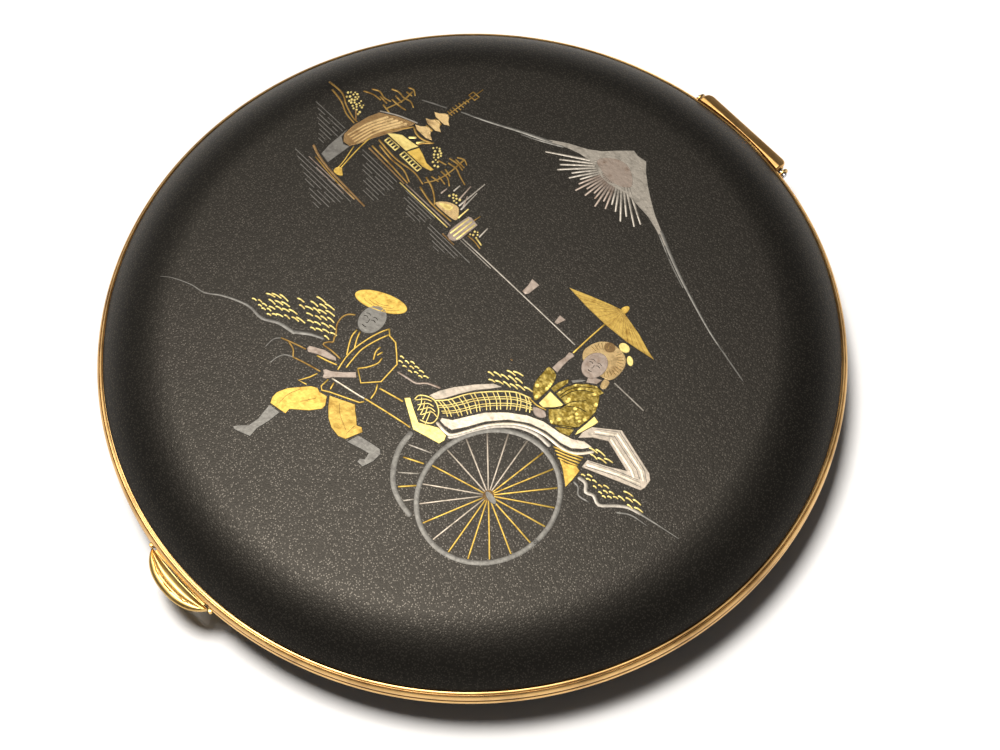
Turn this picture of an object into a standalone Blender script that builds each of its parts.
"""Round powder compact with an inlaid black lid, gilt rims, a rear hinge and a thumb catch.

Row frame: metres, +Z up. The origin is the centre of the flat underside, on which the closed
compact rests. +Y runs from the thumb catch at the front to the hinge at the back, +X to the right.
The compact is modelled closed.
"""
import math

import bmesh
import bpy
from mathutils import Vector

MM = 0.001

# --- Driving dimensions ---------------------------------------------------------------------------
RIM_RADIUS = 40.0 * MM           # crest of the gilt beads
LIP_RADIUS = 39.6 * MM           # outside of the thin lip that grips each black shell
SHELL_RADIUS = 39.3 * MM         # edge of each black shell
SHEET = 0.6 * MM                 # thickness of the stamped shells
FRAME_INNER = 37.6 * MM          # inside of both rims
BASE_LIP_Z = 4.95 * MM           # lower edge of the base rim
BASE_RIM_TOP = 6.0 * MM
SEAM = 0.3 * MM                  # gap between the closed rims
LID_RIM_BOTTOM = BASE_RIM_TOP + SEAM
LID_LIP_Z = 7.45 * MM            # upper edge of the lid rim
CROWN_RADIUS = 31.7 * MM         # where the gentle crown turns into the rolled shoulder
LID_CROWN = 1.2 * MM             # rise of the lid's crown
LID_ROLL = 4.34 * MM             # drop of the lid's shoulder
REST_RADIUS = 22.0 * MM          # flat underside
BASE_CROWN = 0.7 * MM
FITTING_RADIUS = 36.8 * MM       # outside of the mirror ring and of the powder well's flange

HINGE_Y = 40.0 * MM
HINGE_Z = BASE_RIM_TOP + SEAM / 2
PIN_RADIUS = 0.35 * MM
BORE_RADIUS = 0.43 * MM
KNUCKLE_RADIUS = 0.7 * MM
LEAF_HALF = 6.2 * MM             # half the length of the lid's hinge leaf
LEAF_BACK = 41.1 * MM            # straight outer edge of the lid's hinge leaf
LEAF_TOP = 7.35 * MM
EAR_INNER = 6.5 * MM             # the base leaf's ears stand just beyond the lid leaf
EAR_OUTER = 7.2 * MM

CATCH_HALF = 4.5 * MM            # half the width of the thumb tab
CATCH_REACH = 42.1 * MM          # how far the thumb tab stands from the centre
TAB_BOTTOM = 5.05 * MM
LEVER_Z = (5.35 * MM, 5.85 * MM) # underside and top of the lever's plate
SLOT_HALF = 4.4 * MM
EAR_RADIUS = 0.4 * MM            # small bosses of the base rim beside the catch
PIVOT_Y = -36.4 * MM
PIVOT_Z = 4.45 * MM
PIVOT_PIN = 0.35 * MM
HOOK_HALF = 1.5 * MM

WELL_RADIUS = 31.0 * MM
MIRROR_RADIUS = 33.4 * MM
NET_RADIUS = 26.6 * MM
PUFF_RADIUS = 25.6 * MM

FINE = 72                        # facets round the visible turned pieces
COARSE = 48                      # facets round the hidden turned pieces

GILT = ("gilt_brass", (0.80, 0.56, 0.26), 0.28, 1.0)
BRASS = ("plain_brass", (0.66, 0.47, 0.22), 0.38, 1.0)
LACQUER = ("black_lacquer", (0.02, 0.019, 0.018), 0.45, 0.0)
STEEL = ("spring_steel", (0.55, 0.56, 0.58), 0.32, 1.0)
SILVERED = ("mirror_glass", (0.82, 0.85, 0.86), 0.03, 1.0)
CARD = ("backing_card", (0.33, 0.27, 0.20), 0.9, 0.0)
NET = ("sifter_gauze", (0.83, 0.74, 0.66), 0.8, 0.0)
VELOUR = ("puff_velour", (0.86, 0.66, 0.58), 0.95, 0.0)
SATIN = ("puff_satin", (0.88, 0.70, 0.63), 0.5, 0.0)


# --- Helpers --------------------------------------------------------------------------------------
def clear_scene():
    for obj in list(bpy.data.objects):
        bpy.data.objects.remove(obj, do_unlink=True)


def material(spec):
    name, colour, roughness, metallic = spec
    mat = bpy.data.materials.get(name)
    if mat is None:
        mat = bpy.data.materials.new(name)
        mat.use_nodes = True
        shader = mat.node_tree.nodes["Principled BSDF"]
        shader.inputs["Base Color"].default_value = (*colour, 1.0)
        shader.inputs["Roughness"].default_value = roughness
        shader.inputs["Metallic"].default_value = metallic
    return mat


def add_object(name, bm, spec=None, origin=(0.0, 0.0, 0.0)):
    """Close off a bmesh as an object whose own origin lies at the given point."""
    bmesh.ops.recalc_face_normals(bm, faces=bm.faces)
    bmesh.ops.translate(bm, verts=bm.verts, vec=-Vector(origin))
    mesh = bpy.data.meshes.new(name)
    bm.to_mesh(mesh)
    bm.free()
    obj = bpy.data.objects.new(name, mesh)
    obj.location = origin
    bpy.context.scene.collection.objects.link(obj)
    if spec is not None:
        mesh.materials.append(material(spec))
    mesh.shade_smooth()
    mesh.set_sharp_from_angle(angle=math.radians(30))
    return obj


def turned(name, profile, spec=None, segments=FINE):
    """Turn a closed outline of (radius, height) points about the Z axis."""
    bm = bmesh.new()
    verts = [bm.verts.new((radius, 0.0, z)) for radius, z in profile]
    pairs = list(zip(verts, verts[1:] + verts[:1]))
    edges = [bm.edges.new(pair) for pair in pairs if pair[0].co.x + pair[1].co.x > 1e-9]
    bmesh.ops.spin(bm, geom=verts + edges, cent=(0, 0, 0), axis=(0, 0, 1),
                   angle=2 * math.pi, steps=segments, use_merge=True)
    bmesh.ops.remove_doubles(bm, verts=bm.verts, dist=1e-7)
    bmesh.ops.dissolve_degenerate(bm, edges=bm.edges, dist=1e-8)
    return add_object(name, bm, spec)


def prism(name, outline, direction, spec=None, origin=(0.0, 0.0, 0.0)):
    """Extrude a closed outline of 3-D points along a vector."""
    bm = bmesh.new()
    face = bm.faces.new([bm.verts.new(point) for point in outline])
    grown = bmesh.ops.extrude_face_region(bm, geom=[face])
    moved = [item for item in grown["geom"] if isinstance(item, bmesh.types.BMVert)]
    bmesh.ops.translate(bm, verts=moved, vec=direction)
    return add_object(name, bm, spec, origin)


def across(name, section, x0, x1, spec=None, origin=(0.0, 0.0, 0.0)):
    """Extrude a (y, z) section from x0 to x1."""
    return prism(name, [(x0, y, z) for y, z in section], (x1 - x0, 0, 0), spec, origin)


def upright(name, plan, z0, z1, spec=None, origin=(0.0, 0.0, 0.0)):
    """Extrude an (x, y) plan from z0 to z1."""
    return prism(name, [(x, y, z0) for x, y in plan], (0, 0, z1 - z0), spec, origin)


def rectangle(u0, u1, v0, v1):
    return [(u0, v0), (u1, v0), (u1, v1), (u0, v1)]


def arc(centre, radius, start, end, steps):
    """Points on a circle in a plane, the angles in degrees."""
    points = []
    for step in range(steps + 1):
        angle = math.radians(start + (end - start) * step / steps)
        points.append((centre[0] + radius * math.cos(angle), centre[1] + radius * math.sin(angle)))
    return points


def disc(centre, radius, steps=20):
    return arc(centre, radius, 0, 360, steps)[:-1]


def sector(centre, inner, outer, start, end, steps=8):
    """Outline of a ring sector."""
    return arc(centre, outer, start, end, steps) + arc(centre, inner, end, start, steps)


def as_tool(obj):
    obj.hide_render = True
    obj.display_type = "WIRE"
    return obj


def combine(target, tool, operation):
    modifier = target.modifiers.new(operation.lower(), "BOOLEAN")
    modifier.operation = operation
    modifier.solver = "EXACT"
    modifier.object = as_tool(tool)


def cut(target, *tools):
    for tool in tools:
        combine(target, tool, "DIFFERENCE")


def join(target, *tools):
    for tool in tools:
        combine(target, tool, "UNION")


# --- Stamped shells -------------------------------------------------------------------------------
def shoulder(start, start_slope, width, drop, steps):
    """Rolled edge: an arc tangent to start_slope that falls by drop over width."""
    end_slope = 2 * math.atan2(drop, width) - start_slope
    radius = width / (math.sin(end_slope) - math.sin(start_slope))
    points = []
    for step in range(1, steps + 1):
        slope = start_slope + (end_slope - start_slope) * step / steps
        run = radius * (math.sin(slope) - math.sin(start_slope))
        fall = radius * (math.cos(start_slope) - math.cos(slope))
        points.append((start[0] + run, start[1] + fall))
    return points


def pillow(flat_radius, crown, roll, crown_steps, roll_steps):
    """Depth below the middle of a shell against radius: flat, gentle crown, rolled shoulder."""
    points = [(0.0, 0.0)]
    if flat_radius > 0:
        points.append((flat_radius, 0.0))
    span = CROWN_RADIUS - flat_radius
    for step in range(1, crown_steps + 1):
        share = step / crown_steps
        points.append((flat_radius + span * share, crown * share ** 2))
    slope = math.atan(2 * crown / span)
    return points + shoulder(points[-1], slope, SHELL_RADIUS - CROWN_RADIUS, roll, roll_steps)


def thickened(curve, thickness):
    """Close a shell's outer curve with a second one, one sheet thickness inside it."""
    inside = []
    for index, (radius, depth) in enumerate(curve):
        before = curve[max(index - 1, 0)]
        after = curve[min(index + 1, len(curve) - 1)]
        slope = math.atan2(after[1] - before[1], after[0] - before[0])
        if radius == 0:
            slope = 0.0
        inside.append((radius - thickness * math.sin(slope), depth + thickness * math.cos(slope)))
    return curve + inside[::-1]


def lid_panel():
    top = LID_LIP_Z + LID_ROLL + LID_CROWN
    outline = thickened(pillow(0.0, LID_CROWN, LID_ROLL, 4, 7), SHEET)
    return turned("lid_panel", [(radius, top - depth) for radius, depth in outline], LACQUER)


def base_panel():
    roll = BASE_LIP_Z - BASE_CROWN
    outline = thickened(pillow(REST_RADIUS, BASE_CROWN, roll, 2, 7), SHEET)
    panel = turned("base_panel", outline, LACQUER)
    low = BASE_LIP_Z - 0.05 * MM
    half = EAR_OUTER + 0.3 * MM
    for name, plan in (
        ("catch_relief", rectangle(-SLOT_HALF, SLOT_HALF, -42.0 * MM, -38.0 * MM)),
        ("hinge_relief", rectangle(-half, half, 37.9 * MM, 42.0 * MM)),
    ):
        cut(panel, upright(name, plan, low, BASE_RIM_TOP))
    return panel


# --- Gilt rims ------------------------------------------------------------------------------------
def rim_outline(lip_z, shelf_z, seam_z):
    """Section of a rim: a thin lip beyond the shell's edge, a bead, and a flat flange inside."""
    side = 1 if seam_z > lip_z else -1
    lip_inner = LIP_RADIUS - 0.18 * MM
    bead_start = lip_z + side * 0.28 * MM
    crest_z = (bead_start + seam_z) / 2
    return [
        (FRAME_INNER, shelf_z),
        (lip_inner, shelf_z),
        (lip_inner, lip_z),
        (LIP_RADIUS, lip_z),
        (LIP_RADIUS, bead_start),
        (RIM_RADIUS - 0.08 * MM, (bead_start + crest_z) / 2),
        (RIM_RADIUS, crest_z),
        (RIM_RADIUS - 0.05 * MM, (seam_z + crest_z) / 2),
        (RIM_RADIUS - 0.2 * MM, seam_z),
        (FRAME_INNER, seam_z),
    ]


def lid_frame():
    rim = turned("lid_frame", rim_outline(LID_LIP_Z, 6.85 * MM, LID_RIM_BOTTOM), GILT)
    half = LEAF_HALF + 0.25 * MM
    seat_radius = LIP_RADIUS + 0.1 * MM
    side_angle = math.degrees(math.asin(half / seat_radius))
    seat = arc((0, 0), seat_radius, 90 - side_angle, 90 + side_angle, 12)
    seat += [(-half, RIM_RADIUS + 2 * MM), (half, RIM_RADIUS + 2 * MM)]
    leaf_seat = upright("lid_leaf_seat", seat, LID_RIM_BOTTOM - MM, LID_LIP_Z - 0.05 * MM)
    knuckles = across("lid_knuckle_room", disc((HINGE_Y, HINGE_Z), KNUCKLE_RADIUS + 0.25 * MM),
                      -EAR_OUTER - 0.3 * MM, EAR_OUTER + 0.3 * MM)
    hook_gap = HOOK_HALF + 0.4 * MM
    hook_room = upright("hook_room", rectangle(-hook_gap, hook_gap, -38.3 * MM, -36.0 * MM),
                        LID_RIM_BOTTOM - MM, LID_LIP_Z + MM)
    cut(rim, leaf_seat, knuckles, hook_room)
    return rim


def base_frame():
    rim = turned("base_frame", rim_outline(BASE_LIP_Z, 5.5 * MM, BASE_RIM_TOP), GILT)
    hinge_room = across("base_hinge_room", disc((HINGE_Y, HINGE_Z), 1.75 * MM, 32),
                        -EAR_OUTER - 0.3 * MM, EAR_OUTER + 0.3 * MM)
    slot = upright("catch_slot", rectangle(-SLOT_HALF, SLOT_HALF, -42.0 * MM, -37.0 * MM),
                   BASE_LIP_Z - MM, BASE_RIM_TOP + MM)
    cut(rim, hinge_room, slot)
    for side in (-1, 1):
        place = (side * (CATCH_HALF + 0.15 * MM + EAR_RADIUS), -RIM_RADIUS + 0.1 * MM)
        name = "right_boss" if side > 0 else "left_boss"
        join(rim, upright(name, disc(place, EAR_RADIUS, 12), 5.1 * MM, 5.9 * MM))
    return rim


# --- Mirror in the lid ----------------------------------------------------------------------------
def mirror():
    outline = [(0, 7.0 * MM), (MIRROR_RADIUS, 7.0 * MM), (MIRROR_RADIUS, 8.4 * MM), (0, 8.4 * MM)]
    return turned("mirror", outline, SILVERED, COARSE)


def mirror_backing():
    radius = MIRROR_RADIUS - 0.6 * MM
    outline = [(0, 8.6 * MM), (radius, 8.6 * MM), (radius, 9.3 * MM), (0, 9.3 * MM)]
    return turned("mirror_backing", outline, CARD, COARSE)


def mirror_ring():
    """Flat flange that grips the mirror's face, with a wall round its edge."""
    wall = MIRROR_RADIUS + 0.3 * MM
    outline = [
        (MIRROR_RADIUS - 0.8 * MM, 6.5 * MM),
        (FITTING_RADIUS, 6.5 * MM),
        (FITTING_RADIUS, 6.85 * MM),
        (wall + 0.5 * MM, 6.85 * MM),
        (wall + 0.5 * MM, 9.1 * MM),
        (wall, 9.1 * MM),
        (wall, 6.85 * MM),
        (MIRROR_RADIUS - 0.8 * MM, 6.85 * MM),
    ]
    return turned("mirror_ring", outline, GILT, COARSE)


# --- Hinge ----------------------------------------------------------------------------------------
HINGE = (HINGE_Y, HINGE_Z)
HINGE_ORIGIN = (0.0, HINGE_Y, HINGE_Z)
LID_KNUCKLES = ((-6.1, -3.9), (-1.15, 1.15), (3.9, 6.1))
BASE_KNUCKLES = ((-3.7, -1.35), (1.35, 3.7))


def hinge_bore(name):
    reach = EAR_OUTER + MM
    return across(name, disc(HINGE, BORE_RADIUS, 16), -reach, reach)


def knuckle(name, x0, x1, start, end, reach):
    """Round knuckle with a web between two angles that runs out to the given radius."""
    outline = arc(HINGE, KNUCKLE_RADIUS, end, start + 360, 16) + arc(HINGE, reach, start, end, 3)
    return across(name, outline, x0, x1)


def lid_hinge_leaf():
    """Straight-backed cover over the pin, with three knuckles under it."""
    seat_radius = LIP_RADIUS + 0.25 * MM
    side_angle = math.degrees(math.asin(LEAF_HALF / seat_radius))
    corner = 0.8 * MM
    plan = arc((0, 0), seat_radius, 90 - side_angle, 90 + side_angle, 12)
    plan += arc((-LEAF_HALF + corner, LEAF_BACK - corner), corner, 180, 90, 5)
    plan += arc((LEAF_HALF - corner, LEAF_BACK - corner), corner, 90, 0, 5)
    leaf = upright("lid_hinge_leaf", plan, LID_RIM_BOTTOM, LEAF_TOP, GILT, HINGE_ORIGIN)
    reach = LEAF_HALF + MM
    pin_room = across("lid_leaf_pin_room", disc(HINGE, KNUCKLE_RADIUS + 0.12 * MM, 24), -reach, reach)
    slope = [(HINGE_Y - 0.1 * MM, LEAF_TOP), (LEAF_BACK + 0.1 * MM, LEAF_TOP - 0.6 * MM),
             (LEAF_BACK + MM, LEAF_TOP + MM), (HINGE_Y - 0.1 * MM, LEAF_TOP + MM)]
    cut(leaf, pin_room, across("lid_leaf_slope", slope, -reach, reach))
    for number, (x0, x1) in enumerate(LID_KNUCKLES, start=1):
        join(leaf, knuckle(f"lid_knuckle_{number}", x0 * MM, x1 * MM, 50, 110, MM))
    cut(leaf, hinge_bore("lid_leaf_bore"))
    return leaf


def base_hinge_leaf():
    """Strip let into the base rim, with two knuckles and an ear at each end."""
    inner = KNUCKLE_RADIUS + 0.2 * MM
    leaf = across("base_hinge_leaf", sector(HINGE, inner, 1.45 * MM, 190, 228),
                  -EAR_OUTER, EAR_OUTER, GILT, HINGE_ORIGIN)
    for number, (x0, x1) in enumerate(BASE_KNUCKLES, start=1):
        join(leaf, knuckle(f"base_knuckle_{number}", x0 * MM, x1 * MM, 195, 223, 1.2 * MM))
    end = EAR_OUTER - 0.05 * MM
    join(leaf,
         knuckle("left_ear", -end, -EAR_INNER, 195, 223, 1.2 * MM),
         knuckle("right_ear", EAR_INNER, end, 195, 223, 1.2 * MM))
    cut(leaf, hinge_bore("base_leaf_bore"))
    return leaf


def hinge_pin():
    end = EAR_OUTER + 0.2 * MM
    return across("hinge_pin", disc(HINGE, PIN_RADIUS, 16), -end, end, STEEL, HINGE_ORIGIN)


# --- Thumb catch ----------------------------------------------------------------------------------
PIVOT = (PIVOT_Y, PIVOT_Z)
PIVOT_ORIGIN = (0.0, PIVOT_Y, PIVOT_Z)


def thumb_lever():
    """Crescent tab outside the rim, a plate through its slot, a hook above and a tail inside."""
    low, high = LEVER_Z
    inner_radius = RIM_RADIUS + 0.15 * MM
    tip = (CATCH_HALF, -math.sqrt(inner_radius ** 2 - CATCH_HALF ** 2))
    sagitta = CATCH_REACH + tip[1]
    tab_radius = (CATCH_HALF ** 2 + sagitta ** 2) / (2 * sagitta)
    half_angle = math.degrees(math.asin(CATCH_HALF / tab_radius))
    centre = (0, tab_radius - CATCH_REACH)
    plan = arc(centre, tab_radius, 270 - half_angle, 270 + half_angle, 16)
    tip_angle = math.degrees(math.asin(CATCH_HALF / inner_radius))
    tab = upright("lever_tab", plan + arc((0, 0), inner_radius, 270 + tip_angle, 270 - tip_angle, 12)[1:-1],
                  TAB_BOTTOM, high - 0.05 * MM)
    neck = SLOT_HALF - 0.35 * MM
    neck_angle = math.degrees(math.asin(neck / inner_radius))
    plan += arc((0, 0), inner_radius, 270 + tip_angle, 270 + neck_angle, 1)[1:]
    plan += [(neck, -38.1 * MM), (1.9 * MM, -37.9 * MM), (1.9 * MM, -37.1 * MM)]
    plan += [(-1.9 * MM, -37.1 * MM), (-1.9 * MM, -37.9 * MM), (-neck, -38.1 * MM)]
    plan += arc((0, 0), inner_radius, 270 - neck_angle, 270 - tip_angle, 1)[:-1]
    lever = upright("thumb_lever", plan, low, high, GILT, PIVOT_ORIGIN)
    crank = [(-37.75 * MM, high - 0.1 * MM), (-37.75 * MM, 4.8 * MM), (-37.0 * MM, 4.1 * MM),
             (-36.3 * MM, 4.1 * MM), (-36.3 * MM, 4.8 * MM), (-37.15 * MM, 5.2 * MM),
             (-37.15 * MM, high - 0.1 * MM)]
    barrel = across("lever_barrel", disc(PIVOT, 0.75 * MM), -1.85 * MM, 1.85 * MM)
    hook = [(-37.75 * MM, high - 0.2 * MM), (-37.2 * MM, high - 0.2 * MM), (-37.2 * MM, 7.1 * MM),
            (-36.95 * MM, 7.3 * MM), (-37.1 * MM, 7.6 * MM), (-37.75 * MM, 7.6 * MM)]
    tail = [(-36.3 * MM, 4.3 * MM), (-34.5 * MM, 4.3 * MM), (-34.5 * MM, 4.7 * MM),
            (-36.3 * MM, 4.7 * MM)]
    join(lever,
         tab,
         across("lever_crank", crank, -1.8 * MM, 1.8 * MM),
         barrel,
         across("lever_hook", hook, -HOOK_HALF, HOOK_HALF),
         across("lever_tail", tail, -MM, MM))
    cut(lever, across("lever_bore", disc(PIVOT, PIVOT_PIN + 0.08 * MM, 16), -3 * MM, 3 * MM))
    return lever


def latch_pin():
    return across("latch_pin", disc(PIVOT, PIVOT_PIN, 16), -2.9 * MM, 2.9 * MM, STEEL, PIVOT_ORIGIN)


RIVET = (6.4 * MM, -34.4 * MM)


def latch_bracket():
    """Flat strip behind the pivot with an ear on each side of the lever."""
    bracket = upright("latch_bracket", rectangle(-3.4 * MM, 7.6 * MM, -35.3 * MM, -33.4 * MM),
                      3.6 * MM, 3.9 * MM, BRASS)
    ear = [(-34.0 * MM, 3.7 * MM), (-35.6 * MM, 4.95 * MM)]
    ear += arc(PIVOT, 0.78 * MM, 45, 270, 10) + [(-35.2 * MM, 3.62 * MM), (-34.0 * MM, 3.62 * MM)]
    for side, (x0, x1) in {"left": (-2.7, -2.2), "right": (2.2, 2.7)}.items():
        join(bracket, across(f"{side}_bracket_ear", ear, x0 * MM, x1 * MM))
    bore = across("bracket_bore", disc(PIVOT, PIVOT_PIN + 0.08 * MM, 16), -4 * MM, 4 * MM)
    cut(bracket, bore, upright("bracket_rivet_hole", disc(RIVET, 0.5 * MM, 16), 3 * MM, 5 * MM))
    return bracket


def latch_spring():
    """Leaf spring: its riveted end lies on the bracket, its free end presses on the lever's tail."""
    leaf = [(7.4 * MM, 4.1 * MM), (5.0 * MM, 4.1 * MM), (3.2 * MM, 4.95 * MM), (-0.9 * MM, 4.95 * MM),
            (-0.9 * MM, 5.15 * MM), (3.3 * MM, 5.15 * MM), (5.1 * MM, 4.3 * MM), (7.4 * MM, 4.3 * MM)]
    spring = prism("latch_spring", [(x, -35.1 * MM, z) for x, z in leaf], (0, 1.3 * MM, 0), STEEL)
    cut(spring, upright("spring_rivet_hole", disc(RIVET, 0.5 * MM, 16), 3 * MM, 5 * MM))
    return spring


def spring_rivet():
    """Rivet with a head above the spring and one below the bracket."""
    rivet = upright("spring_rivet", disc(RIVET, 0.35 * MM, 16), 3.1 * MM, 4.7 * MM, BRASS)
    join(rivet,
         upright("rivet_head_top", disc(RIVET, 0.75 * MM, 16), 4.45 * MM, 4.8 * MM),
         upright("rivet_head_bottom", disc(RIVET, 0.75 * MM, 16), 3.0 * MM, 3.35 * MM))
    return rivet


def lid_keeper():
    """Post on the lid that the hook's nose bears against."""
    post = [(-36.2 * MM, 7.05 * MM), (-36.65 * MM, 7.05 * MM), (-36.65 * MM, 7.5 * MM),
            (-36.5 * MM, 8.1 * MM), (-36.2 * MM, 8.1 * MM)]
    return across("lid_keeper", post, -1.4 * MM, 1.4 * MM, BRASS)


# --- Powder well, sifter and puff -----------------------------------------------------------------
def powder_well():
    wall = WELL_RADIUS + 0.4 * MM
    outline = [
        (0, 1.6 * MM),
        (wall - MM, 1.6 * MM),
        (wall, 2.5 * MM),
        (wall, 5.6 * MM),
        (FITTING_RADIUS, 5.6 * MM),
        (FITTING_RADIUS, 5.95 * MM),
        (WELL_RADIUS, 5.95 * MM),
        (WELL_RADIUS, 2.6 * MM),
        (WELL_RADIUS - 0.75 * MM, 1.95 * MM),
        (0, 1.95 * MM),
    ]
    return turned("powder_well", outline, GILT, COARSE)


def sifter_ring():
    inner = NET_RADIUS + 0.3 * MM
    outer = WELL_RADIUS - 0.3 * MM
    outline = [
        (inner, 3.0 * MM),
        (outer, 3.0 * MM),
        (outer, 3.9 * MM),
        (outer - 0.4 * MM, 3.9 * MM),
        (outer - 0.6 * MM, 3.45 * MM),
        (inner, 3.45 * MM),
    ]
    return turned("sifter_ring", outline, GILT, COARSE)


def sifter_net():
    outline = [(0, 3.15 * MM), (NET_RADIUS, 3.15 * MM), (NET_RADIUS, 3.3 * MM), (0, 3.3 * MM)]
    return turned("sifter_net", outline, NET, COARSE)


def puff_pad():
    outline = [
        (0, 3.75 * MM),
        (PUFF_RADIUS - 0.8 * MM, 3.75 * MM),
        (PUFF_RADIUS, 4.3 * MM),
        (PUFF_RADIUS, 4.9 * MM),
        (PUFF_RADIUS - 0.5 * MM, 5.3 * MM),
        (0, 5.3 * MM),
    ]
    return turned("puff_pad", outline, VELOUR, COARSE)


def puff_cover():
    outline = [
        (0, 5.5 * MM),
        (PUFF_RADIUS - 0.5 * MM, 5.5 * MM),
        (PUFF_RADIUS - 0.8 * MM, 5.85 * MM),
        (PUFF_RADIUS * 0.7, 6.15 * MM),
        (0, 6.25 * MM),
    ]
    return turned("puff_cover", outline, SATIN, COARSE)


def puff_ribbon():
    """Finger strap across the puff."""
    half = 5.0 * MM
    length = 20.0 * MM
    return upright("puff_ribbon", rectangle(-length, length, -half, half), 6.42 * MM, 6.62 * MM, SATIN)


def build():
    clear_scene()
    for make in (lid_panel, lid_frame, mirror_backing, mirror, mirror_ring, lid_hinge_leaf,
                 lid_keeper, base_panel, base_frame, powder_well, base_hinge_leaf, hinge_pin,
                 thumb_lever, latch_bracket, latch_pin, latch_spring, spring_rivet,
                 sifter_ring, sifter_net, puff_pad, puff_cover, puff_ribbon):
        make()


build()
